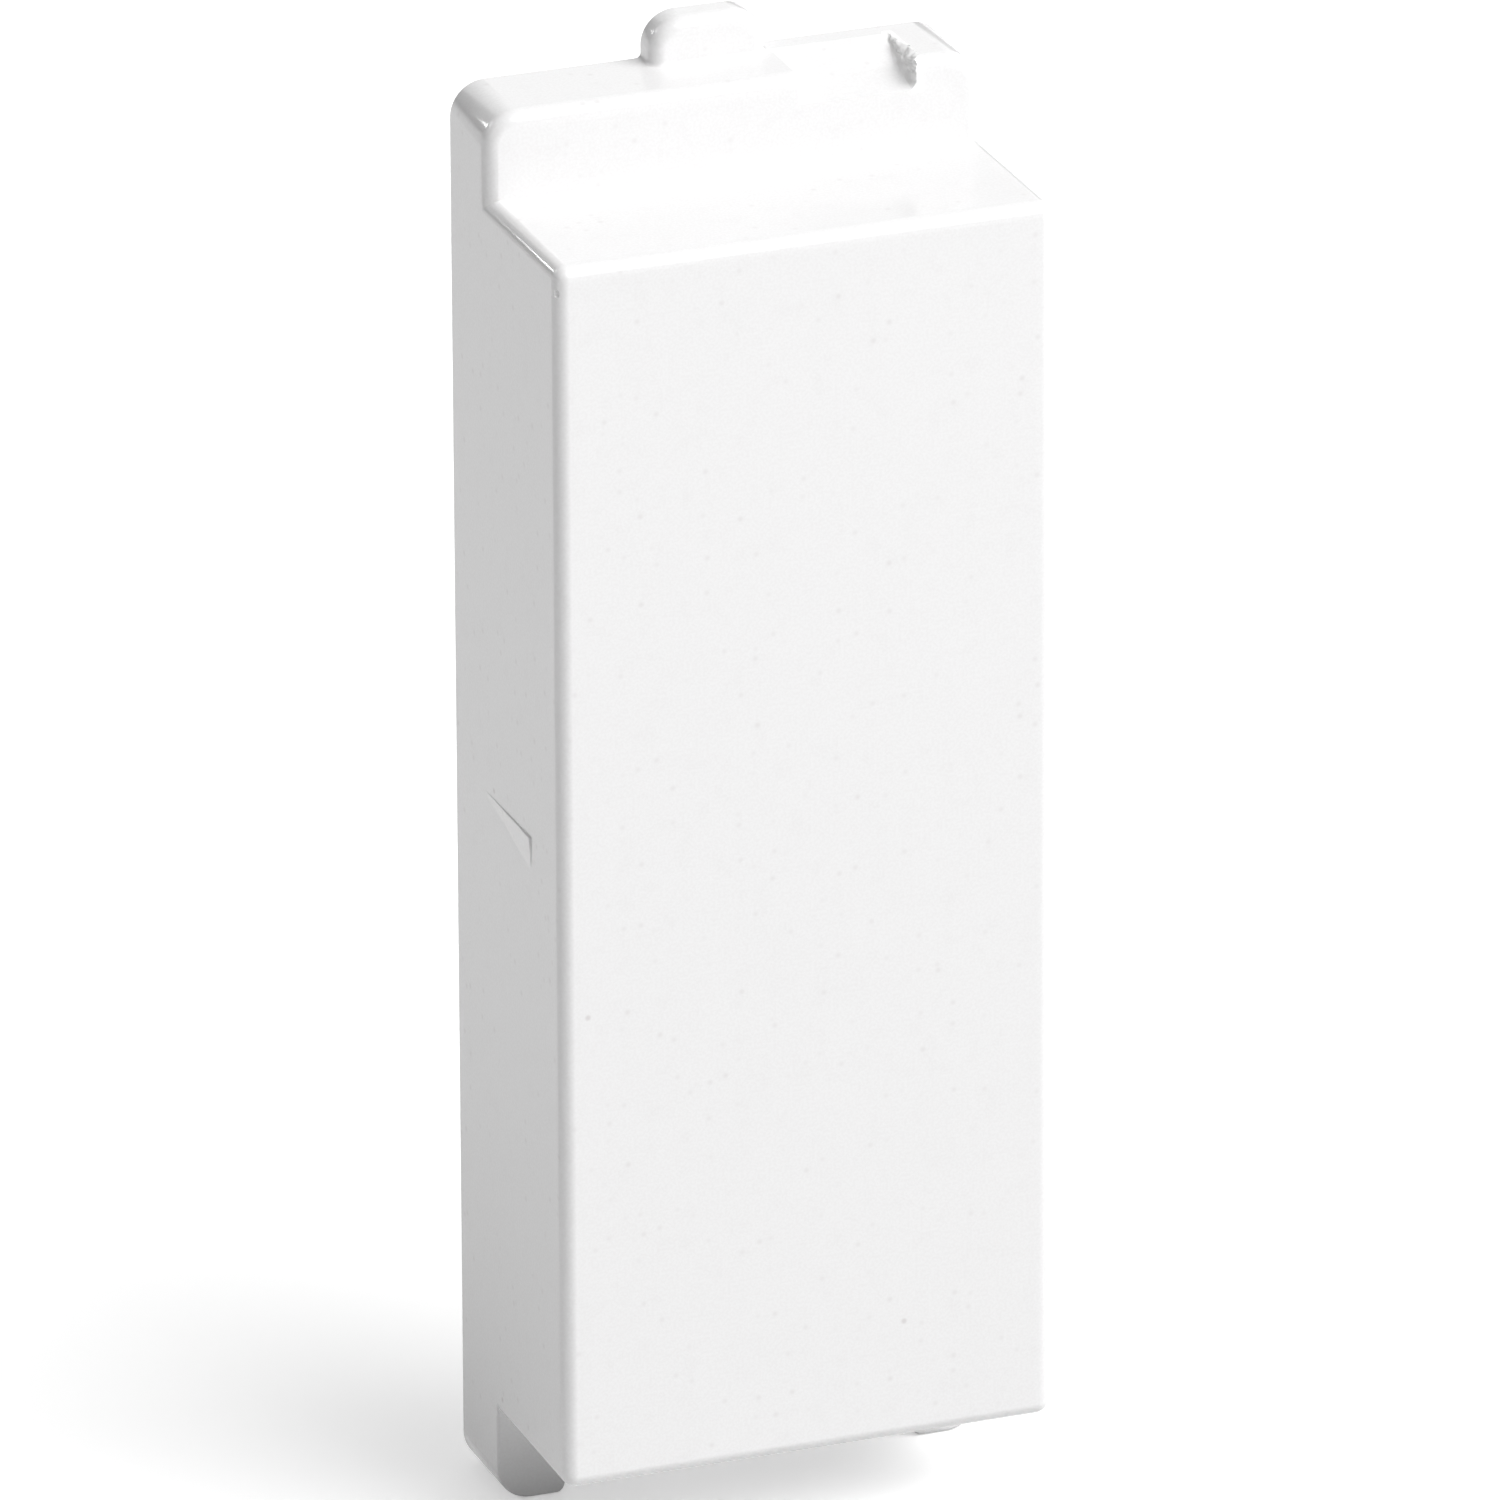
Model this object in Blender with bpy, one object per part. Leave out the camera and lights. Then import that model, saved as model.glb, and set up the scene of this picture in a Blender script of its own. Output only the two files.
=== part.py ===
"""Blank cover plate for one module of a distribution board.

The plate is one moulding: a deep hollow cap that shows through the board's
cut-out, a flange and a tab above it and two feet below it that stay behind
the panel, and a small snap wedge on each side.

+X is to the right as the plate is seen from the front, +Y points into the
board and +Z is up. The origin is on the flange's front face, midway across
the plate and midway up the flat part of that face.
"""

import bpy
import bmesh
from mathutils import Vector

MM = 0.001

# Cap, which fills the cut-out
CAP_WIDTH = 18.0 * MM
CAP_HEIGHT = 45.0 * MM
CAP_PROJECTION = 6.9 * MM
WALL = 1.3 * MM
EDGE_RADIUS = 0.5 * MM
INNER_RADIUS = 0.4 * MM

# Flange behind the panel, above the cap
FLANGE_RISE = 3.1 * MM
FLANGE_DEPTH = 3.6 * MM
FLANGE_CORNER_RADIUS = 1.25 * MM

# Tab on the flange
TAB_WIDTH = 4.2 * MM
TAB_RISE = 1.65 * MM
TAB_THICKNESS = 1.2 * MM
TAB_CORNER_RADIUS = 1.2 * MM

# Sloping cut in the flange's top front edge, to the right of the tab
SLOPE_START = 2.3 * MM
SLOPE_WIDTH = 4.3 * MM
SLOPE_RUN = 2.8 * MM
SLOPE_DROP = 1.1 * MM

# Feet behind the panel, below the cap
FOOT_WIDTH = 2.5 * MM
FOOT_DROP = 3.35 * MM
FOOT_CORNER_RADIUS = 1.25 * MM
FOOT_INNER_RADIUS = 0.6 * MM

# Snap wedge on each side of the cap
WEDGE_LENGTH = 5.2 * MM
WEDGE_HEIGHT = 1.25 * MM
WEDGE_RELIEF = 0.25 * MM
WEDGE_SETBACK = 2.9 * MM
WEDGE_TOP_ABOVE_SILL = 23.3 * MM
WEDGE_EDGE_RADIUS = 0.06 * MM

# How far the wedges are rooted in the side walls, and how far cutters reach past a face
WEDGE_ROOT = 0.6 * MM
CUTTER_REACH = 1.0 * MM

CORNER_SEGMENTS = 8
EDGE_SEGMENTS = 5
SMALL_SEGMENTS = 3

# Levels and planes that the sizes above fix
HALF_WIDTH = 0.5 * CAP_WIDTH
BACK_Y = FLANGE_DEPTH
FRONT_Y = -CAP_PROJECTION
LEDGE_Z = -0.5 * (FLANGE_RISE - EDGE_RADIUS)
SILL_Z = LEDGE_Z - CAP_HEIGHT
FLANGE_TOP_Z = LEDGE_Z + FLANGE_RISE
TAB_TOP_Z = FLANGE_TOP_Z + TAB_RISE
TAB_FRONT_Y = BACK_Y - TAB_THICKNESS
FOOT_BOTTOM_Z = SILL_Z - FOOT_DROP

PLASTIC_WHITE = (0.86, 0.86, 0.86, 1.0)
NEAR = 1e-6
FLAT_ANGLE = 0.001


def clear_scene():
    """Remove every object that the scene holds."""
    for item in list(bpy.data.objects):
        bpy.data.objects.remove(item, do_unlink=True)


def make_collection(name):
    """Return a new collection that is linked to the scene."""
    collection = bpy.data.collections.new(name)
    bpy.context.scene.collection.children.link(collection)
    return collection


def make_plastic():
    """Return the glossy white moulded plastic."""
    material = bpy.data.materials.new("white_plastic")
    material.use_nodes = True
    shader = material.node_tree.nodes["Principled BSDF"]
    shader.inputs["Base Color"].default_value = PLASTIC_WHITE
    shader.inputs["Roughness"].default_value = 0.22
    shader.inputs["Metallic"].default_value = 0.0
    return material


def object_from_bmesh(shape, name, collection):
    """Turn a bmesh into an object with outward faces and free the bmesh."""
    bmesh.ops.recalc_face_normals(shape, faces=shape.faces)
    mesh = bpy.data.meshes.new(name)
    shape.to_mesh(mesh)
    shape.free()
    item = bpy.data.objects.new(name, mesh)
    collection.objects.link(item)
    return item


def make_prism(profile, left, right):
    """Return a bmesh prism: a profile of (y, z) points drawn along X."""
    shape = bmesh.new()
    corners = [shape.verts.new((left, y, z)) for y, z in profile]
    face = shape.faces.new(corners)
    drawn = bmesh.ops.extrude_face_region(shape, geom=[face])
    moved = [part for part in drawn["geom"] if isinstance(part, bmesh.types.BMVert)]
    bmesh.ops.translate(shape, vec=(right - left, 0, 0), verts=moved)
    bmesh.ops.recalc_face_normals(shape, faces=shape.faces)
    return shape


def at(value, target):
    """Tell whether two lengths are the same."""
    return abs(value - target) < NEAR


def runs_along(edge, axis):
    """Tell whether an edge is parallel to an axis, 0 for X, 1 for Y or 2 for Z."""
    start, end = (vertex.co for vertex in edge.verts)
    return all(at(start[i], end[i]) for i in range(3) if i != axis)


def lies_in(edge, axis, place):
    """Tell whether both ends of an edge lie in the plane at a place on an axis."""
    return all(at(vertex.co[axis], place) for vertex in edge.verts)


def round_edges(shape, chosen, radius, segments):
    """Round the edges for which chosen(edge) is true."""
    edges = [edge for edge in shape.edges if chosen(edge)]
    bmesh.ops.bevel(shape, geom=edges, offset=radius, offset_type="OFFSET", segments=segments,
                    profile=0.5, affect="EDGES", clamp_overlap=True, material=-1)


def combine(target, tool, operation):
    """Join a tool to the target, or cut it away, with an exact Boolean modifier."""
    modifier = target.modifiers.new(f"{operation.lower()}_{tool.name}", "BOOLEAN")
    modifier.operation = operation
    modifier.solver = "EXACT"
    modifier.object = tool
    tool.hide_render = True
    tool.display_type = "WIRE"


def slice_faces(shape, faces, axis, place):
    """Split some faces with the plane at a place on an axis and return what they became."""
    point = Vector((0, 0, 0))
    point[axis] = place
    normal = Vector((0, 0, 0))
    normal[axis] = 1
    edges = {edge for face in faces for edge in face.edges}
    cut = bmesh.ops.bisect_plane(shape, geom=[*faces, *edges], dist=NEAR, plane_co=point, plane_no=normal)
    return [part for part in cut["geom"] if isinstance(part, bmesh.types.BMFace)]


def draw_out(shape, faces, move):
    """Extrude faces by a move."""
    drawn = bmesh.ops.extrude_face_region(shape, geom=faces)
    moved = [part for part in drawn["geom"] if isinstance(part, bmesh.types.BMVert)]
    bmesh.ops.translate(shape, vec=move, verts=moved)
    bmesh.ops.delete(shape, geom=[face for face in faces if face.is_valid], context="FACES_ONLY")


def merge_flat_faces(shape):
    """Dissolve the edges between faces that lie in one plane."""
    bmesh.ops.dissolve_limit(shape, angle_limit=FLAT_ANGLE, verts=shape.verts, edges=shape.edges)


def make_back_slab():
    """Return the layer behind the panel: flange, middle and two feet in one outline."""
    notch = HALF_WIDTH - FOOT_WIDTH
    outline = [
        (-HALF_WIDTH, FLANGE_TOP_Z),
        (-HALF_WIDTH, FOOT_BOTTOM_Z),
        (-notch, FOOT_BOTTOM_Z),
        (-notch, SILL_Z),
        (notch, SILL_Z),
        (notch, FOOT_BOTTOM_Z),
        (HALF_WIDTH, FOOT_BOTTOM_Z),
        (HALF_WIDTH, FLANGE_TOP_Z),
    ]
    shape = bmesh.new()
    face = shape.faces.new([shape.verts.new((x, BACK_Y, z)) for x, z in outline])
    drawn = bmesh.ops.extrude_face_region(shape, geom=[face])
    moved = [part for part in drawn["geom"] if isinstance(part, bmesh.types.BMVert)]
    bmesh.ops.translate(shape, vec=(0, -BACK_Y, 0), verts=moved)
    bmesh.ops.recalc_face_normals(shape, faces=shape.faces)
    return shape


def add_cap(shape):
    """Draw the cap forward out of the slab's front, between the sill and the ledge."""
    front = [face for face in shape.faces if face.normal.y < -0.5]
    front = slice_faces(shape, front, 2, SILL_Z)
    front = slice_faces(shape, front, 2, LEDGE_Z)
    cap = [face for face in front if SILL_Z < face.calc_center_median().z < LEDGE_Z]
    draw_out(shape, cap, (0, -CAP_PROJECTION, 0))


def add_tab(shape):
    """Draw the tab up out of the flange's top, flush with the back."""
    top = [face for face in shape.faces if face.normal.z > 0.5 and at(face.calc_center_median().z, FLANGE_TOP_Z)]
    top = slice_faces(shape, top, 1, TAB_FRONT_Y)
    top = slice_faces(shape, top, 0, -0.5 * TAB_WIDTH)
    top = slice_faces(shape, top, 0, 0.5 * TAB_WIDTH)
    seats = [face for face in top if face.calc_center_median().y > TAB_FRONT_Y]
    seats = [face for face in seats if abs(face.calc_center_median().x) < 0.5 * TAB_WIDTH]
    draw_out(shape, seats, (0, 0, TAB_RISE))


def round_outline(shape):
    """Round the corners that the outline shows from the front."""
    outer = HALF_WIDTH

    def is_corner(edge, x, z):
        return runs_along(edge, 1) and at(abs(edge.verts[0].co.x), x) and at(edge.verts[0].co.z, z)

    round_edges(shape, lambda edge: is_corner(edge, outer, FLANGE_TOP_Z), FLANGE_CORNER_RADIUS, CORNER_SEGMENTS)
    round_edges(shape, lambda edge: is_corner(edge, outer, FOOT_BOTTOM_Z), FOOT_CORNER_RADIUS, CORNER_SEGMENTS)
    round_edges(shape, lambda edge: is_corner(edge, outer - FOOT_WIDTH, FOOT_BOTTOM_Z),
                FOOT_INNER_RADIUS, SMALL_SEGMENTS)
    round_edges(shape, lambda edge: is_corner(edge, 0.5 * TAB_WIDTH, TAB_TOP_Z), TAB_CORNER_RADIUS, CORNER_SEGMENTS)


def round_front(shape):
    """Round the edges that face the user, and the cap's edges from front to flange."""

    def is_front_edge(edge):
        if lies_in(edge, 1, FRONT_Y):
            return True
        if lies_in(edge, 1, 0.0):
            return not lies_in(edge, 2, LEDGE_Z) and not lies_in(edge, 2, SILL_Z)
        if lies_in(edge, 1, TAB_FRONT_Y):
            return not lies_in(edge, 2, FLANGE_TOP_Z)
        ahead = all(vertex.co.y < NEAR for vertex in edge.verts)
        return runs_along(edge, 1) and ahead

    round_edges(shape, is_front_edge, EDGE_RADIUS, EDGE_SEGMENTS)


def make_outside(name, collection):
    """Return the whole outer form as one solid block with rounded edges."""
    shape = make_back_slab()
    add_cap(shape)
    add_tab(shape)
    merge_flat_faces(shape)
    round_outline(shape)
    round_front(shape)
    return object_from_bmesh(shape, name, collection)


def make_hollow(collection):
    """Return the space inside the cap and the flange, open at the back."""
    open_y = BACK_Y + CUTTER_REACH
    profile = [
        (open_y, SILL_Z + WALL),
        (FRONT_Y + WALL, SILL_Z + WALL),
        (FRONT_Y + WALL, LEDGE_Z - WALL),
        (WALL, LEDGE_Z - WALL),
        (WALL, FLANGE_TOP_Z - WALL),
        (open_y, FLANGE_TOP_Z - WALL),
    ]
    side = HALF_WIDTH - WALL
    shape = make_prism(profile, -side, side)

    def is_inner_corner(edge):
        in_step = lies_in(edge, 1, WALL) and lies_in(edge, 2, LEDGE_Z - WALL)
        return not lies_in(edge, 1, open_y) and not in_step

    round_edges(shape, is_inner_corner, INNER_RADIUS, SMALL_SEGMENTS)
    return object_from_bmesh(shape, "hollow", collection)


def make_slope_cutter(collection):
    """Return the wedge of material that the sloping cut takes off the flange."""
    fall = SLOPE_DROP / SLOPE_RUN
    profile = [
        (SLOPE_RUN, FLANGE_TOP_Z),
        (-CUTTER_REACH, FLANGE_TOP_Z - SLOPE_DROP - fall * CUTTER_REACH),
        (-CUTTER_REACH, FLANGE_TOP_Z + CUTTER_REACH),
        (SLOPE_RUN, FLANGE_TOP_Z + CUTTER_REACH),
    ]
    shape = make_prism(profile, SLOPE_START, SLOPE_START + SLOPE_WIDTH)
    return object_from_bmesh(shape, "slope_cutter", collection)


def make_wedge(side, collection):
    """Return a snap wedge, -1 for the left side and 1 for the right.

    It stands proud of the side only at its upper front corner and runs out to
    nothing at the back and at the bottom.
    """
    front_y = FRONT_Y + WEDGE_SETBACK
    top_z = SILL_Z + WEDGE_TOP_ABOVE_SILL
    corners = [
        (front_y + WEDGE_LENGTH, top_z, 0.0),
        (front_y, top_z, WEDGE_RELIEF),
        (front_y, top_z - WEDGE_HEIGHT, 0.0),
    ]
    shape = bmesh.new()
    root_x = side * (HALF_WIDTH - WEDGE_ROOT)
    root = shape.faces.new([shape.verts.new((root_x, y, z)) for y, z, _ in corners])
    drawn = bmesh.ops.extrude_face_region(shape, geom=[root])
    for vertex in drawn["geom"]:
        if not isinstance(vertex, bmesh.types.BMVert):
            continue
        relief = next(proud for y, z, proud in corners if at(vertex.co.y, y) and at(vertex.co.z, z))
        vertex.co.x = side * (HALF_WIDTH + relief)
    peak = max(shape.verts, key=lambda vertex: abs(vertex.co.x))
    round_edges(shape, lambda edge: peak in edge.verts, WEDGE_EDGE_RADIUS, SMALL_SEGMENTS)
    name = "left_wedge" if side < 0 else "right_wedge"
    return object_from_bmesh(shape, name, collection)


def shade(item, material):
    """Give a piece its material and smooth round surfaces."""
    item.data.materials.append(material)
    item.data.shade_smooth()
    item.data.set_sharp_from_angle(angle=0.6)


def main():
    """Build the plate."""
    clear_scene()
    parts = make_collection("blank_cover_plate")
    cutters = make_collection("cutters")

    plate = make_outside("blank_cover", parts)
    combine(plate, make_slope_cutter(cutters), "DIFFERENCE")
    for side in (-1, 1):
        combine(plate, make_wedge(side, cutters), "UNION")
    combine(plate, make_hollow(cutters), "DIFFERENCE")
    shade(plate, make_plastic())


main()
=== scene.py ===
"""Looks of a blank cover plate, a glossy white moulding for a board's front panel.

The plate is one moulding. Its cap fills one unused place in the panel's
cut-out, a flange and a tab above the cap and two feet below it stay behind the
panel, and a small snap wedge on each side holds it. Lengths are in metres,
+X is to the right as the plate is seen from the front, +Y points into the
board and +Z is up.
"""

import logging
import math
from collections.abc import Callable, Iterable, Mapping
from dataclasses import dataclass, field
from enum import Enum, IntEnum

import bmesh
import bpy
from bmesh.types import BMesh, BMEdge, BMFace, BMVert
from mathutils import Matrix, Vector, noise


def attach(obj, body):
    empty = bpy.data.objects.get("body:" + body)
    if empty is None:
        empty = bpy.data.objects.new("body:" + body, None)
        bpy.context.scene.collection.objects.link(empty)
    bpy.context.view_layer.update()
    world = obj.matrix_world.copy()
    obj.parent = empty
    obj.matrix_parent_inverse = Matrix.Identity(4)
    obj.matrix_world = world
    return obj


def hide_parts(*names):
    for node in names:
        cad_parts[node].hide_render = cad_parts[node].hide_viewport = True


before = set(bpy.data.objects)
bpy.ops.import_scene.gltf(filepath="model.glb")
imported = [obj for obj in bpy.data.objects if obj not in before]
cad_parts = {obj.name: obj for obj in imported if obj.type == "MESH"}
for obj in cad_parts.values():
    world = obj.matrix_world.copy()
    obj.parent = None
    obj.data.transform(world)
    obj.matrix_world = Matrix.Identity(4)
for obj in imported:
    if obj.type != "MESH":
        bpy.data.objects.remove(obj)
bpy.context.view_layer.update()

MM = 0.001
NEAR = 1e-6
FLAT_ANGLE = 0.001
LOG = logging.getLogger("cover_plate")

# How much of a unit normal lies along an axis when its face looks that way,
# stands almost square to the axis, or runs almost along it.
FACING = 0.5
SQUARE = 0.99
ALONG = 0.01

Colour = tuple[float, float, float]
Point = tuple[float, float, float]
Span = tuple[float, float]

BLACK: Colour = (0.0, 0.0, 0.0)
WHITE: Colour = (1.0, 1.0, 1.0)


class Axis(IntEnum):
    """The frame's axes."""

    X = 0
    Y = 1
    Z = 2


class Side(Enum):
    """The plate's two sides, each with the sign of its X."""

    LEFT = -1
    RIGHT = 1


class Carving(Enum):
    """What a tool does to the piece that it meets."""

    JOIN = "UNION"
    REMOVE = "DIFFERENCE"


def drawn_verts(result: Mapping[str, list]) -> list[BMVert]:
    """Return the vertices that a bmesh operator reports."""
    return [part for part in result["geom"] if isinstance(part, BMVert)]


def drawn_faces(result: Mapping[str, list]) -> list[BMFace]:
    """Return the faces that a bmesh operator reports."""
    return [part for part in result["geom"] if isinstance(part, BMFace)]


def at(value: float, target: float) -> bool:
    """Tell whether two lengths are the same."""
    return abs(value - target) < NEAR


def lies_in(edge: BMEdge, axis: Axis, place: float) -> bool:
    """Tell whether both ends of an edge lie in the plane at a place on an axis."""
    return all(at(vertex.co[axis], place) for vertex in edge.verts)


def runs_along(edge: BMEdge, axis: Axis) -> bool:
    """Tell whether an edge is parallel to an axis."""
    start, end = (vertex.co for vertex in edge.verts)
    return all(at(start[other], end[other]) for other in Axis if other is not axis)


def facing(shape: BMesh, axis: Axis, sign: int) -> list[BMFace]:
    """Return the faces that look up an axis, or down it where the sign is -1."""
    return [face for face in shape.faces if sign * face.normal[axis] > FACING]


def quarter_round(away: float, radius: float) -> float:
    """Return how far a quarter round stands off its wall at a distance from its foot."""
    if away >= radius:
        return 0.0
    rise = 1.0 - max(away, 0.0) / radius
    return radius * (1.0 - math.sqrt(1.0 - rise * rise))


def make_block(low: Point, high: Point) -> BMesh:
    """Make a block between two corners.

    Args:
        low: The lowest corner.
        high: The highest corner.

    Returns:
        The block, from a unit cube that is scaled and moved.
    """
    shape = bmesh.new()
    bmesh.ops.create_cube(shape, size=1.0)
    size = Vector(high) - Vector(low)
    bmesh.ops.scale(shape, vec=size, verts=shape.verts)
    bmesh.ops.translate(shape, vec=Vector(low) + 0.5 * size, verts=shape.verts)
    return shape


def slice_faces(shape: BMesh, faces: list[BMFace], axis: Axis, place: float) -> list[BMFace]:
    """Split faces where a plane crosses them.

    Args:
        shape: The mesh that holds the faces.
        faces: The faces to split.
        axis: The plane's normal.
        place: Where the plane crosses that axis.

    Returns:
        The faces on both sides of the cut.
    """
    point = Vector((0.0, 0.0, 0.0))
    point[axis] = place
    normal = Vector((0.0, 0.0, 0.0))
    normal[axis] = 1.0
    edges = dict.fromkeys(edge for face in faces for edge in face.edges)
    return drawn_faces(bmesh.ops.bisect_plane(shape, geom=[*faces, *edges], dist=NEAR,
                                              plane_co=point, plane_no=normal))


def draw_out(shape: BMesh, faces: list[BMFace], move: Point) -> None:
    """Extrude faces by a move and drop the faces that they leave inside."""
    drawn = bmesh.ops.extrude_face_region(shape, geom=faces)
    bmesh.ops.translate(shape, vec=Vector(move), verts=drawn_verts(drawn))
    left_inside = [face for face in faces if face.is_valid]
    bmesh.ops.delete(shape, geom=left_inside, context="FACES_ONLY")


def merge_flat(shape: BMesh, edges: Iterable[BMEdge]) -> None:
    """Dissolve those of the edges that lie between faces in one plane."""
    bmesh.ops.dissolve_limit(shape, angle_limit=FLAT_ANGLE, verts=shape.verts, edges=edges)


def round_edges(shape: BMesh, chosen: Callable[[BMEdge], bool],
                radius: float, segments: int) -> None:
    """Round the edges for which chosen says so."""
    edges = [edge for edge in shape.edges if chosen(edge)]
    bmesh.ops.bevel(shape, geom=edges, offset=radius, offset_type="OFFSET", segments=segments,
                    profile=0.5, affect="EDGES", clamp_overlap=True, material=-1)


def make_piece(shape: BMesh, name: str) -> bpy.types.Object:
    """Turn a bmesh into an object at the origin, with its faces pointing out."""
    bmesh.ops.recalc_face_normals(shape, faces=shape.faces)
    mesh = bpy.data.meshes.new(name)
    shape.to_mesh(mesh)
    shape.free()
    piece = bpy.data.objects.new(name, mesh)
    bpy.context.scene.collection.objects.link(piece)
    return piece


def carve(piece: bpy.types.Object, tool: bpy.types.Object, carving: Carving) -> None:
    """Join a tool to a piece or take it away, and remove the tool.

    Args:
        piece: The piece that changes.
        tool: A closed object, which is used up.
        carving: Whether the tool is added or taken away.
    """
    modifier = piece.modifiers.new(tool.name, "BOOLEAN")
    modifier.operation = carving.value
    modifier.solver = "EXACT"
    modifier.object = tool
    graph = bpy.context.evaluated_depsgraph_get()
    carved = bpy.data.meshes.new_from_object(piece.evaluated_get(graph))
    piece.modifiers.clear()
    worn_out = piece.data
    piece.data = carved
    bpy.data.meshes.remove(worn_out)
    bpy.data.objects.remove(tool, do_unlink=True)


@dataclass
class Cap:
    """The deep cap, which shows through the board's cut-out."""

    width: float = 18.0 * MM
    height: float = 45.0 * MM
    projection: float = 6.9 * MM
    wall: float = 1.3 * MM
    edge_radius: float = 0.5 * MM
    edge_segments: int = 12
    inner_radius: float = 0.4 * MM
    inner_segments: int = 4


@dataclass
class Flange:
    """The step above the cap, behind the panel."""

    rise: float = 3.1 * MM
    depth: float = 3.6 * MM
    corner_radius: float = 1.25 * MM
    corner_segments: int = 20


@dataclass
class Tab:
    """The small tab on the flange."""

    width: float = 4.2 * MM
    rise: float = 1.65 * MM
    thickness: float = 1.2 * MM
    corner_radius: float = 1.2 * MM
    corner_segments: int = 20
    foot_radius: float = 0.18 * MM
    foot_segments: int = 5


@dataclass
class Feet:
    """The two feet below the cap, behind the panel."""

    width: float = 2.5 * MM
    drop: float = 3.35 * MM
    corner_radius: float = 1.25 * MM
    corner_segments: int = 20
    inner_radius: float = 0.32 * MM
    inner_segments: int = 10
    edge_radius: float = 0.12 * MM
    edge_segments: int = 5


@dataclass
class SlopeCut:
    """The sloping cut in the flange's top front edge, with a torn right end."""

    start: float = 2.3 * MM
    width: float = 4.3 * MM
    run: float = 2.8 * MM
    drop: float = 1.1 * MM
    reach: float = 1.0 * MM
    cells: int = 56
    largest_cell: float = 0.01 * MM * MM
    roughness: float = 0.17 * MM
    grain: float = 0.21 * MM
    grain_decay: float = 0.9
    grain_step: float = 2.1
    grain_octaves: int = 3
    fine_scale: float = 3.0
    fine_share: float = 0.3
    foot_radius: float = 0.34 * MM
    crest_radius: float = 0.26 * MM
    foot_share: float = 0.55
    crest_share: float = 0.40
    least_crest: float = 0.02 * MM

    @property
    def end(self) -> float:
        """Return the X of the torn end."""
        return self.start + self.width

    def make_tool(self, top: float) -> bpy.types.Object:
        """Make the block that the cut takes away.

        Args:
            top: The Z of the flange's top.

        Returns:
            A closed block whose right end is rough.
        """
        fall = self.drop / self.run
        shape = bmesh.new()
        bmesh.ops.create_grid(shape, x_segments=self.cells, y_segments=self.cells, size=0.5)
        for vertex in shape.verts:
            along, up = vertex.co.x + 0.5, vertex.co.y + 0.5
            depth = -self.reach + along * (self.run + self.reach)
            floor = top - fall * (self.run - depth)
            height = up * (top + self.reach - floor)
            across = self.end + self.torn_offset(depth, height, top - floor)
            vertex.co = (across, depth, floor + height)
        drawn = bmesh.ops.extrude_face_region(shape, geom=list(shape.faces))
        for vertex in drawn_verts(drawn):
            vertex.co.x = self.start
        return make_piece(shape, "slope_tool")

    def torn_offset(self, depth: float, height: float, crest: float) -> float:
        """Work out how far the torn end stands off its own plane.

        Args:
            depth: The place's Y.
            height: How high the place is above the slope.
            crest: How high the flange's top is above the slope there.

        Returns:
            The offset towards +X. It rounds the end's foot and its crest, and
            it adds grains, which fade out towards the foot.
        """
        place = Vector((0.0, depth, height)) / self.grain
        coarse = noise.fractal(place, self.grain_decay, self.grain_step, self.grain_octaves)
        fine = noise.noise(self.fine_scale * place)
        grains = self.roughness * (coarse + self.fine_share * fine)
        crest = max(crest, self.least_crest)
        foot = min(self.foot_radius, self.foot_share * crest)
        brow = min(self.crest_radius, self.crest_share * crest)
        offset = quarter_round(crest - height, brow) - quarter_round(height, foot)
        return offset + grains * min(1.0, height / foot)


@dataclass
class SnapWedge:
    """A triangular wedge that stands proud of a side at its upper front corner."""

    length: float = 5.2 * MM
    height: float = 1.25 * MM
    relief: float = 0.085 * MM
    setback: float = 2.9 * MM
    top_above_sill: float = 23.3 * MM
    edge_radius: float = 0.07 * MM
    edge_segments: int = 4
    root: float = 0.6 * MM

    def make_tool(self, side: Side, half_width: float, front: float,
                  sill: float) -> bpy.types.Object:
        """Make one wedge, rooted in the side wall.

        Args:
            side: Which side it stands on.
            half_width: Half the cap's width.
            front: The Y of the cap's front.
            sill: The Z of the cap's lower end.

        Returns:
            The wedge as a closed object.
        """
        front_y = front + self.setback
        top_z = sill + self.top_above_sill
        shape = bmesh.new()
        root_x = side.value * (half_width - self.root)
        corners = [(front_y + self.length, top_z), (front_y, top_z), (front_y, top_z - self.height)]
        root = shape.faces.new([shape.verts.new((root_x, y, z)) for y, z in corners])
        drawn = bmesh.ops.extrude_face_region(shape, geom=[root])
        for vertex in drawn_verts(drawn):
            at_peak = at(vertex.co.y, front_y) and at(vertex.co.z, top_z)
            vertex.co.x = side.value * (half_width + (self.relief if at_peak else 0.0))
        peak = max(shape.verts, key=lambda vertex: abs(vertex.co.x))
        round_edges(shape, lambda edge: peak in edge.verts, self.edge_radius, self.edge_segments)
        return make_piece(shape, f"{side.name.lower()}_wedge_tool")


@dataclass
class Nick:
    """The small nick in the cap's left front edge, just below its top."""

    below_ledge: float = 0.93 * MM
    from_corner: Point = (0.085 * MM, 0.16 * MM, 0.0)
    radii: Point = (0.09 * MM, 0.15 * MM, 0.17 * MM)
    subdivisions: int = 4

    def make_tool(self, corner: Vector) -> bpy.types.Object:
        """Make the small ball that the nick takes away, from the cap's top left front corner."""
        shape = bmesh.new()
        bmesh.ops.create_icosphere(shape, subdivisions=self.subdivisions, radius=1.0)
        bmesh.ops.scale(shape, vec=Vector(self.radii), verts=shape.verts)
        place = corner + Vector(self.from_corner) - Vector((0.0, 0.0, self.below_ledge))
        bmesh.ops.translate(shape, vec=place, verts=shape.verts)
        return make_piece(shape, "nick_tool")


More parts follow.
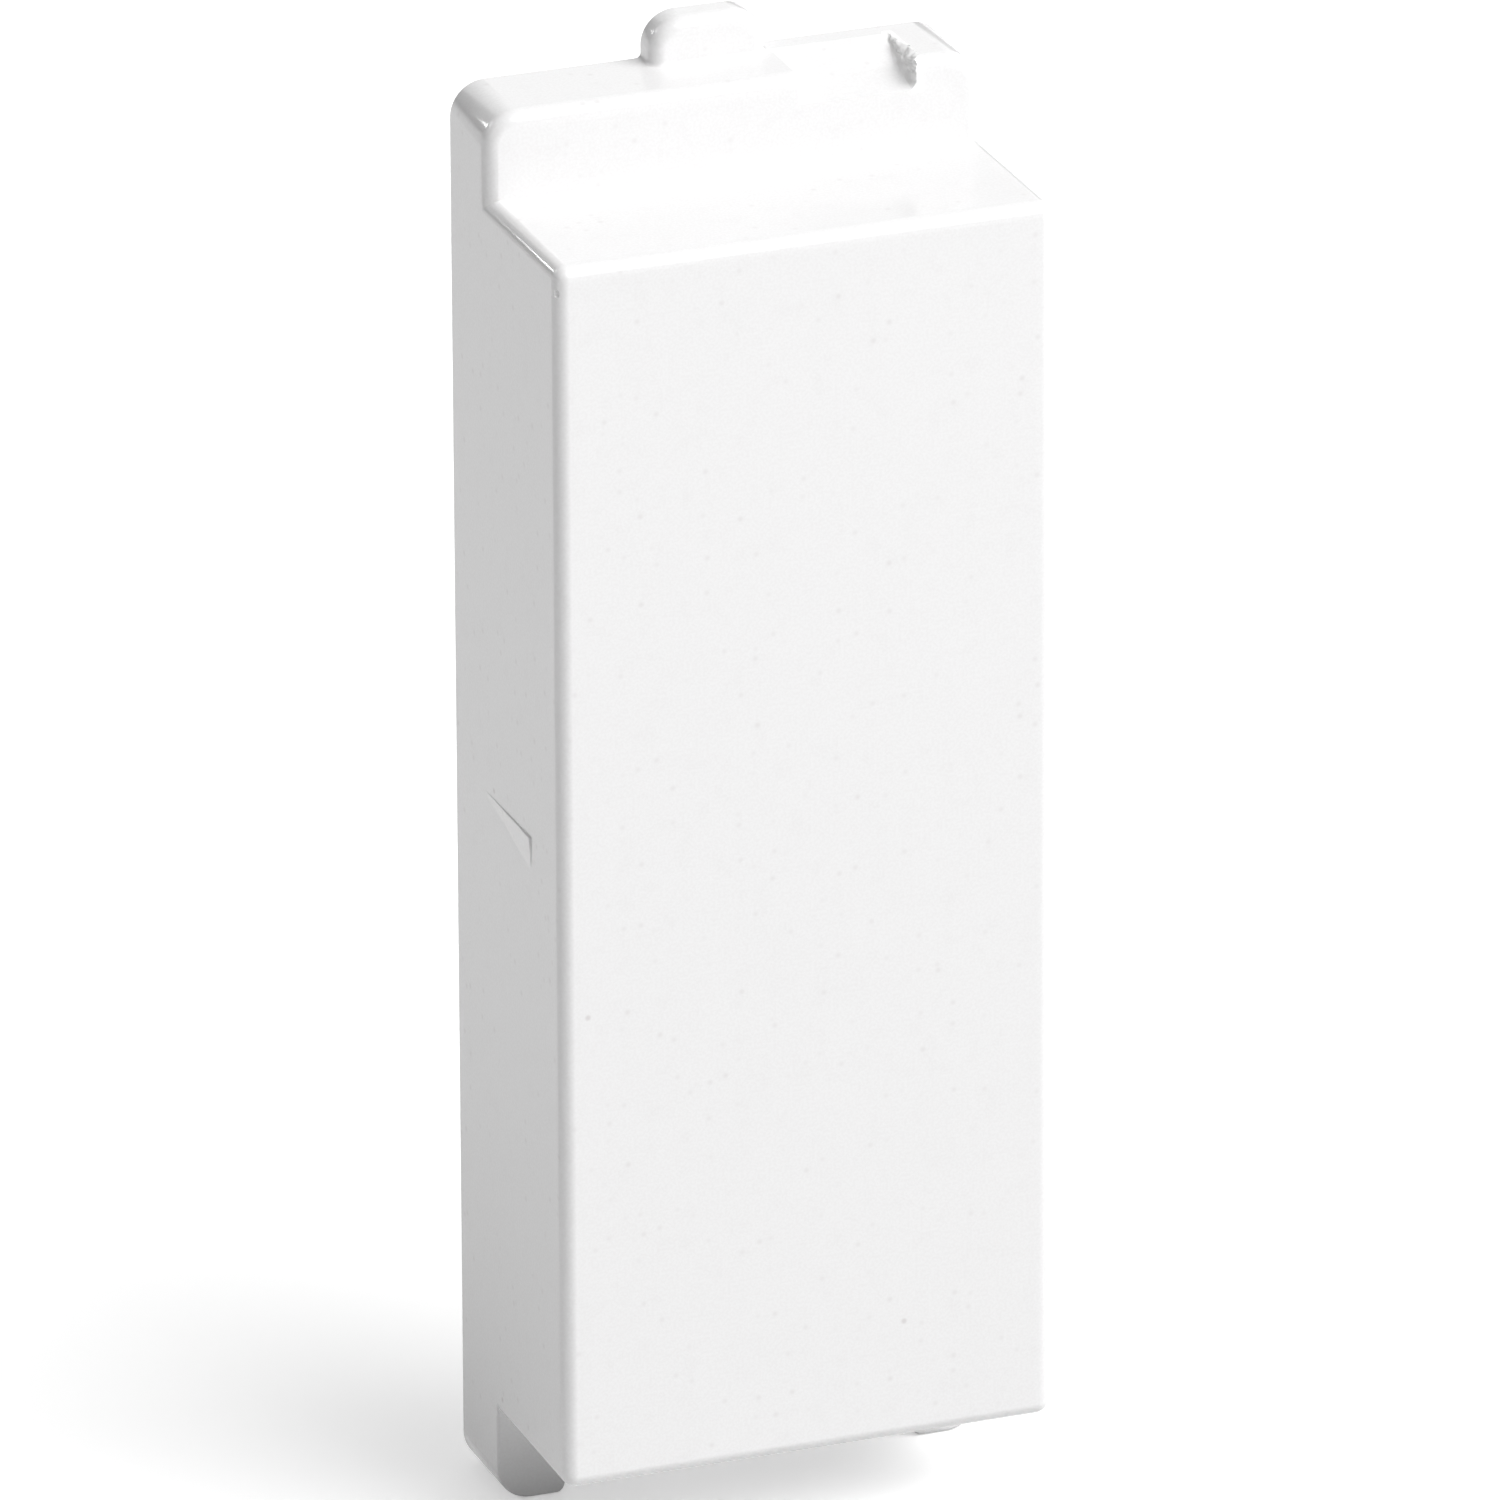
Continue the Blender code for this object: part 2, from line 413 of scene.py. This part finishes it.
@dataclass
class CoverPlate:
    """The whole plate, one moulding."""

    cap: Cap = field(default_factory=Cap)
    flange: Flange = field(default_factory=Flange)
    tab: Tab = field(default_factory=Tab)
    feet: Feet = field(default_factory=Feet)
    slope: SlopeCut = field(default_factory=SlopeCut)
    wedge: SnapWedge = field(default_factory=SnapWedge)
    nick: Nick = field(default_factory=Nick)
    rim_radius: float = 0.12 * MM
    rim_segments: int = 4
    crease_angle: float = math.radians(22.0)
    flat_weight: int = 100

    @property
    def half_width(self) -> float:
        """Return half the plate's width."""
        return 0.5 * self.cap.width

    @property
    def ledge_z(self) -> float:
        """Return the height of the ledge, where the cap ends and the flange starts."""
        return -0.5 * (self.flange.rise - self.cap.edge_radius)

    @property
    def top_z(self) -> float:
        """Return the height of the flange's top."""
        return self.ledge_z + self.flange.rise

    @property
    def tab_top_z(self) -> float:
        """Return the height of the tab's top."""
        return self.top_z + self.tab.rise

    @property
    def sill_z(self) -> float:
        """Return the height of the cap's lower end."""
        return self.ledge_z - self.cap.height

    @property
    def bottom_z(self) -> float:
        """Return the height of the feet's lower ends."""
        return self.sill_z - self.feet.drop

    @property
    def front_y(self) -> float:
        """Return the Y of the cap's front."""
        return -self.cap.projection

    @property
    def tab_front_y(self) -> float:
        """Return the Y of the tab's front."""
        return self.flange.depth - self.tab.thickness

    def build(self) -> bpy.types.Object:
        """Model the plate and return it as one closed piece."""
        plate = make_piece(self.make_outside(), "cover_plate")
        carve(plate, self.slope.make_tool(self.top_z), Carving.REMOVE)
        for side in Side:
            tool = self.wedge.make_tool(side, self.half_width, self.front_y, self.sill_z)
            carve(plate, tool, Carving.JOIN)
        carve(plate, self.make_hollow_tool(), Carving.REMOVE)
        corner = Vector((-self.half_width, self.front_y, self.ledge_z))
        carve(plate, self.nick.make_tool(corner), Carving.REMOVE)
        self.finish_edges(plate)
        return plate

    def make_outside(self) -> BMesh:
        """Model the outer form as one block that is drawn out and rounded."""
        half = self.half_width
        shape = make_block((-half, 0.0, self.sill_z), (half, self.flange.depth, self.top_z))
        self.draw_feet(shape)
        self.draw_cap(shape)
        self.draw_tab(shape)
        merge_flat(shape, [edge for edge in shape.edges if not lies_in(edge, Axis.Y, 0.0)])
        self.round_outline(shape)
        self.round_front(shape)
        self.round_feet(shape)
        self.round_tab_foot(shape)
        return shape

    def draw_feet(self, shape: BMesh) -> None:
        """Draw the two feet down out of the block's lower face."""
        notch = self.half_width - self.feet.width
        lower = facing(shape, Axis.Z, -1)
        for place in (-notch, notch):
            lower = slice_faces(shape, lower, Axis.X, place)
        ends = [face for face in lower if abs(face.calc_center_median().x) > notch]
        for end in ends:
            draw_out(shape, [end], (0.0, 0.0, -self.feet.drop))

    def draw_cap(self, shape: BMesh) -> None:
        """Draw the cap forward out of the block's front face, between sill and ledge."""
        front = facing(shape, Axis.Y, -1)
        for place in (self.sill_z, self.ledge_z):
            front = slice_faces(shape, front, Axis.Z, place)
        seat = [face for face in front if self.sill_z < face.calc_center_median().z < self.ledge_z]
        draw_out(shape, seat, (0.0, -self.cap.projection, 0.0))

    def draw_tab(self, shape: BMesh) -> None:
        """Draw the tab up out of the flange's top, flush with the back."""
        half = 0.5 * self.tab.width
        upper = facing(shape, Axis.Z, 1)
        upper = [face for face in upper if at(face.calc_center_median().z, self.top_z)]
        upper = slice_faces(shape, upper, Axis.Y, self.tab_front_y)
        for place in (-half, half):
            upper = slice_faces(shape, upper, Axis.X, place)
        seat = [face for face in upper if face.calc_center_median().y > self.tab_front_y]
        seat = [face for face in seat if abs(face.calc_center_median().x) < half]
        draw_out(shape, seat, (0.0, 0.0, self.tab.rise))

    def round_outline(self, shape: BMesh) -> None:
        """Round the corners that the outline shows from the front."""

        def round_corners(x: float, z: float, radius: float, segments: int) -> None:
            def chosen(edge: BMEdge) -> bool:
                place = edge.verts[0].co
                return runs_along(edge, Axis.Y) and at(abs(place.x), x) and at(place.z, z)

            round_edges(shape, chosen, radius, segments)

        half, flange, feet, tab = self.half_width, self.flange, self.feet, self.tab
        inner_x = half - feet.width
        round_corners(half, self.top_z, flange.corner_radius, flange.corner_segments)
        round_corners(half, self.bottom_z, feet.corner_radius, feet.corner_segments)
        round_corners(inner_x, self.bottom_z, feet.inner_radius, feet.inner_segments)
        round_corners(0.5 * tab.width, self.tab_top_z, tab.corner_radius, tab.corner_segments)

    def round_front(self, shape: BMesh) -> None:
        """Round the edges that face the user, and the cap's edges from front to flange."""

        def chosen(edge: BMEdge) -> bool:
            if lies_in(edge, Axis.Y, self.front_y):
                return True
            if lies_in(edge, Axis.Y, 0.0):
                above = all(vertex.co.z > self.ledge_z - NEAR for vertex in edge.verts)
                return above and not lies_in(edge, Axis.Z, self.ledge_z)
            if lies_in(edge, Axis.Y, self.tab_front_y):
                return not lies_in(edge, Axis.Z, self.top_z)
            ahead = all(vertex.co.y < NEAR for vertex in edge.verts)
            return runs_along(edge, Axis.Y) and ahead

        round_edges(shape, chosen, self.cap.edge_radius, self.cap.edge_segments)

    def round_feet(self, shape: BMesh) -> None:
        """Round the feet's front edges finely, from just below the cap."""
        merge_flat(shape, [edge for edge in shape.edges if lies_in(edge, Axis.Y, 0.0)])
        start = self.sill_z - 0.5 * self.feet.edge_radius
        upright = [face for face in shape.faces if abs(face.normal.z) < ALONG]
        slice_faces(shape, upright, Axis.Z, start)

        def chosen(edge: BMEdge) -> bool:
            below = all(vertex.co.z < start + NEAR for vertex in edge.verts)
            return lies_in(edge, Axis.Y, 0.0) and below and not lies_in(edge, Axis.Z, start)

        round_edges(shape, chosen, self.feet.edge_radius, self.feet.edge_segments)

    def round_tab_foot(self, shape: BMesh) -> None:
        """Round the inner edge where the tab rises from the flange."""
        reach = 0.5 * self.tab.width + NEAR

        def chosen(edge: BMEdge) -> bool:
            if not lies_in(edge, Axis.Z, self.top_z):
                return False
            middle = 0.5 * (edge.verts[0].co + edge.verts[1].co)
            on_tab = abs(middle.x) < reach and middle.y > self.tab_front_y - NEAR
            return on_tab and not lies_in(edge, Axis.Y, self.flange.depth)

        round_edges(shape, chosen, self.tab.foot_radius, self.tab.foot_segments)

    def make_hollow_tool(self) -> bpy.types.Object:
        """Make the space inside the cap and the flange, open at the back."""
        wall = self.cap.wall
        side = self.half_width - wall
        open_y = self.flange.depth + wall
        roof_z = self.ledge_z - wall
        shape = make_block((-side, self.front_y + wall, self.sill_z + wall), (side, open_y, roof_z))
        upper = slice_faces(shape, facing(shape, Axis.Z, 1), Axis.Y, wall)
        behind = [face for face in upper if face.calc_center_median().y > wall]
        draw_out(shape, behind, (0.0, 0.0, self.flange.rise))

        def chosen(edge: BMEdge) -> bool:
            in_step = lies_in(edge, Axis.Y, wall) and lies_in(edge, Axis.Z, roof_z)
            return not lies_in(edge, Axis.Y, open_y) and not in_step

        merge_flat(shape, shape.edges)
        round_edges(shape, chosen, self.cap.inner_radius, self.cap.inner_segments)
        return make_piece(shape, "hollow_tool")

    def finish_edges(self, plate: bpy.types.Object) -> None:
        """Round the edges round the open back, crease the crisp ones and shade the rest smooth."""
        shape = bmesh.new()
        shape.from_mesh(plate.data)
        back = self.flange.depth

        def chosen(edge: BMEdge) -> bool:
            return lies_in(edge, Axis.Y, back) and edge.calc_face_angle(0.0) > self.crease_angle

        round_edges(shape, chosen, self.rim_radius, self.rim_segments)
        for face in shape.faces:
            face.smooth = True
        for edge in shape.edges:
            first, second = edge.link_faces
            border = self.is_wedge_face(first) != self.is_wedge_face(second)
            border = border or self.is_torn_face(first) != self.is_torn_face(second)
            gentle = edge.calc_face_angle(0.0) < self.crease_angle or self.is_torn_face(first)
            edge.smooth = gentle and not border
        shape.to_mesh(plate.data)
        shape.free()
        weighted = plate.modifiers.new("flat_faces_stay_flat", "WEIGHTED_NORMAL")
        weighted.keep_sharp = True
        weighted.weight = self.flat_weight

    def is_wedge_face(self, face: BMFace) -> bool:
        """Tell whether a face is a wedge's slanting outer face."""
        proud = any(abs(vertex.co.x) > self.half_width + NEAR for vertex in face.verts)
        return proud and abs(face.normal.x) > SQUARE

    def is_torn_face(self, face: BMFace) -> bool:
        """Tell whether a face is one of the small ones of the torn end."""
        slope = self.slope
        middle = face.calc_center_median()
        at_end = abs(middle.x - slope.end) < slope.foot_radius + slope.crest_radius
        in_cut = NEAR < middle.y < slope.run and middle.z > self.top_z - slope.drop
        return at_end and in_cut and face.calc_area() < slope.largest_cell

    def dress(self, plate: bpy.types.Object, finish: "GlossyPlastic") -> None:
        """Give the plate its finish and tie it to the frame."""
        slope = self.slope
        torn = Vector((slope.end, 0.5 * slope.run, self.top_z - 0.5 * slope.drop))
        plate.data.materials.append(finish.material(torn))
        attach(plate, "root")
        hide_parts("blank_cover")


class ShaderGraph:
    """The nodes of one material or world."""

    def __init__(self, owner: bpy.types.Material | bpy.types.World) -> None:
        """Start an empty node tree."""
        owner.use_nodes = True
        self.tree = owner.node_tree
        self.tree.nodes.clear()

    def add(self, kind: str, settings: Mapping[str, object] | None = None,
            inputs: Mapping[str | int, object] | None = None) -> bpy.types.Node:
        """Add a node.

        Args:
            kind: The node's type.
            settings: Its own properties, set first.
            inputs: The value or the link of each socket, by name or number.

        Returns:
            The node.
        """
        node = self.tree.nodes.new(kind)
        for name, value in (settings or {}).items():
            setattr(node, name, value)
        for key, value in (inputs or {}).items():
            if isinstance(value, Signal):
                self.tree.links.new(value.socket, node.inputs[key])
            else:
                node.inputs[key].default_value = value
        return node

    def read(self, kind: str, output: str | int, settings: Mapping[str, object] | None = None,
             inputs: Mapping[str | int, object] | None = None) -> "Signal":
        """Add a node and return one of its outputs, by name or number."""
        return Signal(self, self.add(kind, settings, inputs).outputs[output])

    def fade(self, value: "Signal", start: float, end: float) -> "Signal":
        """Return 0 where a value is at or before start, 1 at or past end, and a soft fade else."""
        return self.read("ShaderNodeMapRange", "Result", {"interpolation_type": "SMOOTHSTEP"},
                         {"Value": value, "From Min": start, "From Max": end})

    def blend(self, share: "Signal", first: object, second: object) -> "Signal":
        """Mix two colours, the second by its share."""
        inputs = {"Factor": share, 6: first, 7: second}
        return self.read("ShaderNodeMix", 2, {"data_type": "RGBA"}, inputs)

    def pattern(self, place: "Signal", length: float, detail: float) -> "Signal":
        """Return a noise of a given length, from 0 to 1."""
        return self.read("ShaderNodeTexNoise", 0,
                         inputs={"Vector": place, "Scale": 1.0 / length, "Detail": detail})

    def distance(self, place: "Signal", centre: Point) -> "Signal":
        """Return how far a place is from a centre."""
        return self.read("ShaderNodeVectorMath", "Value", {"operation": "DISTANCE"},
                         {0: place, 1: centre})

    def along(self, place: "Signal", axis: Axis) -> "Signal":
        """Return a place's coordinate on an axis."""
        return self.read("ShaderNodeSeparateXYZ", int(axis), inputs={0: place})


class Signal:
    """A socket's value, on which arithmetic adds Math nodes."""

    def __init__(self, graph: ShaderGraph, socket: bpy.types.NodeSocket) -> None:
        """Wrap one output socket."""
        self.graph = graph
        self.socket = socket

    def _math(self, operation: str, first: object, second: object) -> "Signal":
        """Add a Math node on two values."""
        return self.graph.read("ShaderNodeMath", 0, {"operation": operation},
                               {0: first, 1: second})

    def __add__(self, other: object) -> "Signal":
        """Return self + other."""
        return self._math("ADD", self, other)

    def __radd__(self, other: object) -> "Signal":
        """Return other + self."""
        return self._math("ADD", other, self)

    def __sub__(self, other: object) -> "Signal":
        """Return self - other."""
        return self._math("SUBTRACT", self, other)

    def __rsub__(self, other: object) -> "Signal":
        """Return other - self."""
        return self._math("SUBTRACT", other, self)

    def __mul__(self, other: object) -> "Signal":
        """Return self times other."""
        return self._math("MULTIPLY", self, other)

    def __rmul__(self, other: object) -> "Signal":
        """Return other times self."""
        return self._math("MULTIPLY", other, self)

    def __or__(self, other: "Signal") -> "Signal":
        """Return the larger of two masks."""
        return self._math("MAXIMUM", self, other)


def opaque(colour: Colour) -> tuple[float, float, float, float]:
    """Return a colour with full alpha, as a colour socket takes it."""
    return (*colour, 1.0)


@dataclass(frozen=True)
class GlossyPlastic:
    """Glossy white moulded plastic, with faint specks, grain and clouds in its colour.

    The torn end is paler and duller. Its paler colour is partly the whitening of torn plastic and
    partly painted light, which brightens an end that the lamps leave in shade. A span is where a
    mask starts and where it is full.
    """

    colour: Colour = (0.88, 0.878, 0.88)
    speck_colour: Colour = (0.72, 0.70, 0.70)
    speck_spacing: float = 0.60 * MM
    speck_radius: float = 0.19 * MM
    speck_strength: float = 0.52
    speck_span: Span = (0.25, 1.0)
    marks: tuple[Point, ...] = (
        (-9.0 * MM, -0.263 * MM, -22.735 * MM),
        (-9.0 * MM, -0.544 * MM, -45.502 * MM),
        (-9.0 * MM, -0.420 * MM, -48.377 * MM),
        (-8.042 * MM, -6.9 * MM, -28.691 * MM),
        (3.491 * MM, -6.9 * MM, -41.849 * MM),
    )
    mark_radius: float = 0.16 * MM
    mark_core: float = 0.2
    mottle_length: float = 0.10 * MM
    mottle_strength: float = 0.16
    mottle_span: Span = (0.35, 0.65)
    cloud_length: float = 0.7 * MM
    cloud_strength: float = 0.07
    cloud_span: Span = (0.5, 0.75)
    roughness: float = 0.13
    roughness_spread: float = 0.05
    roughness_length: float = 4.0 * MM
    # Paler torn end: partly the whitening of torn plastic, partly painted light that brightens an
    # end the lamps leave in shade.
    torn_whitening_and_painted_light_colour: Colour = (0.95, 0.948, 0.945)
    torn_roughness: float = 0.45
    torn_reach: float = 0.35 * MM
    torn_core: float = 1.5 * MM
    torn_radius: float = 2.0 * MM
    torn_depth: float = 0.58 * MM
    torn_fade: float = 0.15 * MM
    refraction: float = 1.5
    ripple_length: float = 0.7 * MM
    ripple_height: float = 0.0012 * MM
    grain_length: float = 0.09 * MM
    grain_height: float = 0.0005 * MM

    def material(self, torn: Vector) -> bpy.types.Material:
        """Make the material.

        Args:
            torn: The middle of the torn end of the sloping cut.

        Returns:
            The material, placed by the piece's own coordinates.
        """
        made = bpy.data.materials.new("glossy_white_plastic")
        graph = ShaderGraph(made)
        place = graph.read("ShaderNodeTexCoord", "Object")
        specks = self.specks(graph, place) * self.speck_strength
        dulled = specks | self.mottle(graph, place) * self.mottle_strength
        dulled = dulled + self.clouds(graph, place) * self.cloud_strength
        for mark in self.marks:
            dulled = dulled | self.dot(graph, place, mark)
        tinted = graph.blend(dulled, opaque(self.colour), opaque(self.speck_colour))
        mask = self.torn_mask(graph, place, torn)
        shader = graph.read("ShaderNodeBsdfPrincipled", "BSDF", inputs={
            # The torn end's paler colour is partly painted light, a painted brightening of an end
            # that lies in shade.
            "Base Color": graph.blend(mask, tinted, opaque(self.torn_whitening_and_painted_light_colour)),
            "Roughness": self.gloss(graph, place, mask),
            "IOR": self.refraction,
            "Normal": self.surface(graph, place),
        })
        graph.add("ShaderNodeOutputMaterial", inputs={"Surface": shader})
        return made

    def specks(self, graph: ShaderGraph, place: Signal) -> Signal:
        """Return a mask of small dots, strong in some and hardly there in most."""
        scale = 1.0 / self.speck_spacing
        cells = graph.add("ShaderNodeTexVoronoi", {"feature": "F1"},
                          {"Vector": place, "Scale": scale})
        away = Signal(graph, cells.outputs["Distance"])
        tint = Signal(graph, cells.outputs["Color"])
        choice = graph.read("ShaderNodeSeparateColor", 0, inputs={0: tint})
        inside = 1.0 - graph.fade(away, 0.0, self.speck_radius * scale)
        return inside * graph.fade(choice, *self.speck_span)

    def dot(self, graph: ShaderGraph, place: Signal, centre: Point) -> Signal:
        """Return a soft mask round one place."""
        away = graph.distance(place, centre)
        return 1.0 - graph.fade(away, self.mark_core * self.mark_radius, self.mark_radius)

    def mottle(self, graph: ShaderGraph, place: Signal) -> Signal:
        """Return a mask of fine, faint grain in the colour."""
        return graph.fade(graph.pattern(place, self.mottle_length, 1.0), *self.mottle_span)

    def clouds(self, graph: ShaderGraph, place: Signal) -> Signal:
        """Return a mask of wide, faint patches in the colour."""
        return graph.fade(graph.pattern(place, self.cloud_length, 2.0), *self.cloud_span)

    def gloss(self, graph: ShaderGraph, place: Signal, torn: Signal) -> Signal:
        """Return the roughness, which varies a little and rises where the torn mask is on."""
        uneven = graph.pattern(place, self.roughness_length, 3.0)
        smooth = self.roughness + self.roughness_spread * (uneven - 0.5)
        return smooth + torn * (self.torn_roughness - self.roughness)

    def torn_mask(self, graph: ShaderGraph, place: Signal, torn: Vector) -> Signal:
        """Return a mask that is on at the torn end only, and not in the hollow below it. It lays
        the duller gloss and the paler colour, which is partly painted light.
        """
        away = graph.distance(place, tuple(torn))
        across, up = graph.along(place, Axis.X), graph.along(place, Axis.Z)
        near_end = graph.fade(across, torn.x - self.torn_reach, torn.x)
        near_end = near_end * (1.0 - graph.fade(away, self.torn_core, self.torn_radius))
        last = torn.x + self.torn_reach
        past_end = 1.0 - graph.fade(across, torn.x + 0.5 * self.torn_reach, last)
        lowest = torn.z - self.torn_depth
        return near_end * past_end * graph.fade(up, lowest - self.torn_fade, lowest)

    def surface(self, graph: ShaderGraph, place: Signal) -> Signal:
        """Return the normal with a soft ripple and a finer grain."""
        ripple = graph.pattern(place, self.ripple_length, 1.0)
        grain = graph.pattern(place, self.grain_length, 1.0)
        height = ripple * (self.ripple_height / MM) + grain * (self.grain_height / MM)
        return graph.read("ShaderNodeBump", 0,
                          inputs={"Height": height, "Strength": 1.0, "Distance": MM})


@dataclass(frozen=True)
class PaleFloor:
    """The plain floor, white where it is seen or mirrored, with a softer bounce of light."""

    radius: float = 3.0
    segments: int = 96
    gap: float = 0.02 * MM
    seen_colour: Colour = (0.93, 0.93, 0.93)
    bounce_colour: Colour = (0.60, 0.60, 0.60)
    lift: Colour = (0.35, 0.35, 0.35)

    def material(self) -> bpy.types.Material:
        """Make the floor's material, which keeps the plate's shadow."""
        made = bpy.data.materials.new("pale_floor")
        graph = ShaderGraph(made)
        path = graph.add("ShaderNodeLightPath")
        camera, glossy, through = (Signal(graph, path.outputs[name]) for name in
                                   ("Is Camera Ray", "Is Glossy Ray", "Is Transmission Ray"))
        seen = camera | glossy | through
        shader = graph.read("ShaderNodeBsdfPrincipled", "BSDF", inputs={
            "Base Color": graph.blend(seen, opaque(self.bounce_colour), opaque(self.seen_colour)),
            "Roughness": 1.0,
            "Specular IOR Level": 0.0,
            "Emission Color": graph.blend(seen, opaque(BLACK), opaque(self.lift)),
            "Emission Strength": 1.0,
        })
        graph.add("ShaderNodeOutputMaterial", inputs={"Surface": shader})
        return made

    def build(self, height: float) -> bpy.types.Object:
        """Lay the floor just under a height."""
        shape = bmesh.new()
        bmesh.ops.create_circle(shape, cap_ends=True, segments=self.segments, radius=self.radius)
        bmesh.ops.translate(shape, vec=(0.0, 0.0, height - self.gap), verts=shape.verts)
        floor = make_piece(shape, "floor")
        floor.data.materials.append(self.material())
        return floor


@dataclass(frozen=True)
class SoftLamp:
    """A soft rectangular lamp, placed round the plate by angles.

    Azimuth 0 is in front of the plate, and 90 is to its right. The level is
    the brightness that the lamp gives a white face turned to it.
    """

    name: str
    azimuth: float
    elevation: float
    distance: float
    width: float
    height: float
    level: float

    def build(self, target: Vector) -> bpy.types.Object:
        """Place the lamp and point it at a target."""
        turn, rise = math.radians(self.azimuth), math.radians(self.elevation)
        away = Vector((math.sin(turn) * math.cos(rise), -math.cos(turn) * math.cos(rise),
                       math.sin(rise)))
        light = bpy.data.lights.new(self.name, "AREA")
        light.shape = "RECTANGLE"
        light.size = self.width
        light.size_y = self.height
        light.energy = self.level * (math.pi * self.distance) ** 2
        lamp = bpy.data.objects.new(self.name, light)
        lamp.location = target + away * self.distance
        lamp.rotation_euler = away.to_track_quat("Z", "Y").to_euler()
        bpy.context.scene.collection.objects.link(lamp)
        return lamp


@dataclass(frozen=True)
class RoomLight:
    """The room's own light, dim near the horizon and brighter overhead."""

    horizon: float = 0.02
    overhead: float = 0.31
    full_height: float = 0.8

    def build(self) -> None:
        """Set the scene's world."""
        world = bpy.data.worlds.new("room")
        graph = ShaderGraph(world)
        height = graph.along(graph.read("ShaderNodeTexCoord", "Generated"), Axis.Z)
        rise = graph.fade(height, 0.0, self.full_height)
        level = self.horizon + (self.overhead - self.horizon) * rise
        backdrop = graph.read("ShaderNodeBackground", 0,
                              inputs={"Color": opaque(WHITE), "Strength": level})
        graph.add("ShaderNodeOutputWorld", inputs={"Surface": backdrop})
        bpy.context.scene.world = world


@dataclass(frozen=True)
class ViewPoint:
    """The camera, at the photograph's place and angle."""

    place: Point = (-207.72 * MM, -557.74 * MM, 221.80 * MM)
    azimuth: float = 20.469
    descent: float = 22.329
    roll: float = 0.221
    lens: float = 448.5
    sensor: float = 36.0
    clip_start: float = 0.01
    clip_end: float = 20.0

    def build(self) -> bpy.types.Object:
        """Make the camera the scene's own."""
        data = bpy.data.cameras.new("camera")
        data.sensor_width = self.sensor
        data.lens = self.lens
        data.clip_start = self.clip_start
        data.clip_end = self.clip_end
        camera = bpy.data.objects.new("camera", data)
        turn = Matrix.Rotation(math.radians(-self.azimuth), 4, "Z")
        nod = Matrix.Rotation(math.radians(90.0 - self.descent), 4, "X")
        roll = Matrix.Rotation(math.radians(-self.roll), 4, "Z")
        camera.matrix_world = Matrix.Translation(self.place) @ turn @ nod @ roll
        bpy.context.scene.collection.objects.link(camera)
        bpy.context.scene.camera = camera
        return camera


@dataclass
class Studio:
    """The floor, the lamps, the room's light and the camera."""

    floor: PaleFloor = field(default_factory=PaleFloor)
    room: RoomLight = field(default_factory=RoomLight)
    camera: ViewPoint = field(default_factory=ViewPoint)
    lamps: tuple[SoftLamp, ...] = (
        SoftLamp("key_lamp", azimuth=43.0, elevation=43.0, distance=0.7,
                 width=0.75, height=0.50, level=1.33),
        SoftLamp("left_spot", azimuth=-148.0, elevation=16.0, distance=0.6,
                 width=0.06, height=0.06, level=0.05),
        SoftLamp("corner_spot", azimuth=-126.0, elevation=33.0, distance=0.6,
                 width=0.30, height=0.10, level=0.10),
        SoftLamp("front_fill", azimuth=-50.0, elevation=20.0, distance=0.7,
                 width=0.50, height=0.40, level=0.05),
        SoftLamp("back_panel", azimuth=160.0, elevation=25.0, distance=0.7,
                 width=0.80, height=0.35, level=0.135),
    )

    def build(self, floor_height: float, target: Vector) -> None:
        """Set up the studio round a target."""
        self.floor.build(floor_height)
        self.room.build()
        for lamp in self.lamps:
            lamp.build(target)
        self.camera.build()
        bpy.context.scene.view_settings.view_transform = "Standard"


def main() -> None:
    """Build the plate and the studio."""
    logging.basicConfig(level=logging.INFO, format="%(name)s: %(message)s")
    cover = CoverPlate()
    plate = cover.build()
    cover.dress(plate, GlossyPlastic())
    LOG.info("%s: %d faces", plate.name, len(plate.data.polygons))
    studio = Studio()
    studio.build(cover.bottom_z, Vector((0.0, 0.0, 0.5 * (cover.top_z + cover.sill_z))))
    LOG.info("studio: %d lamps", len(studio.lamps))


if __name__ == "__main__":
    main()
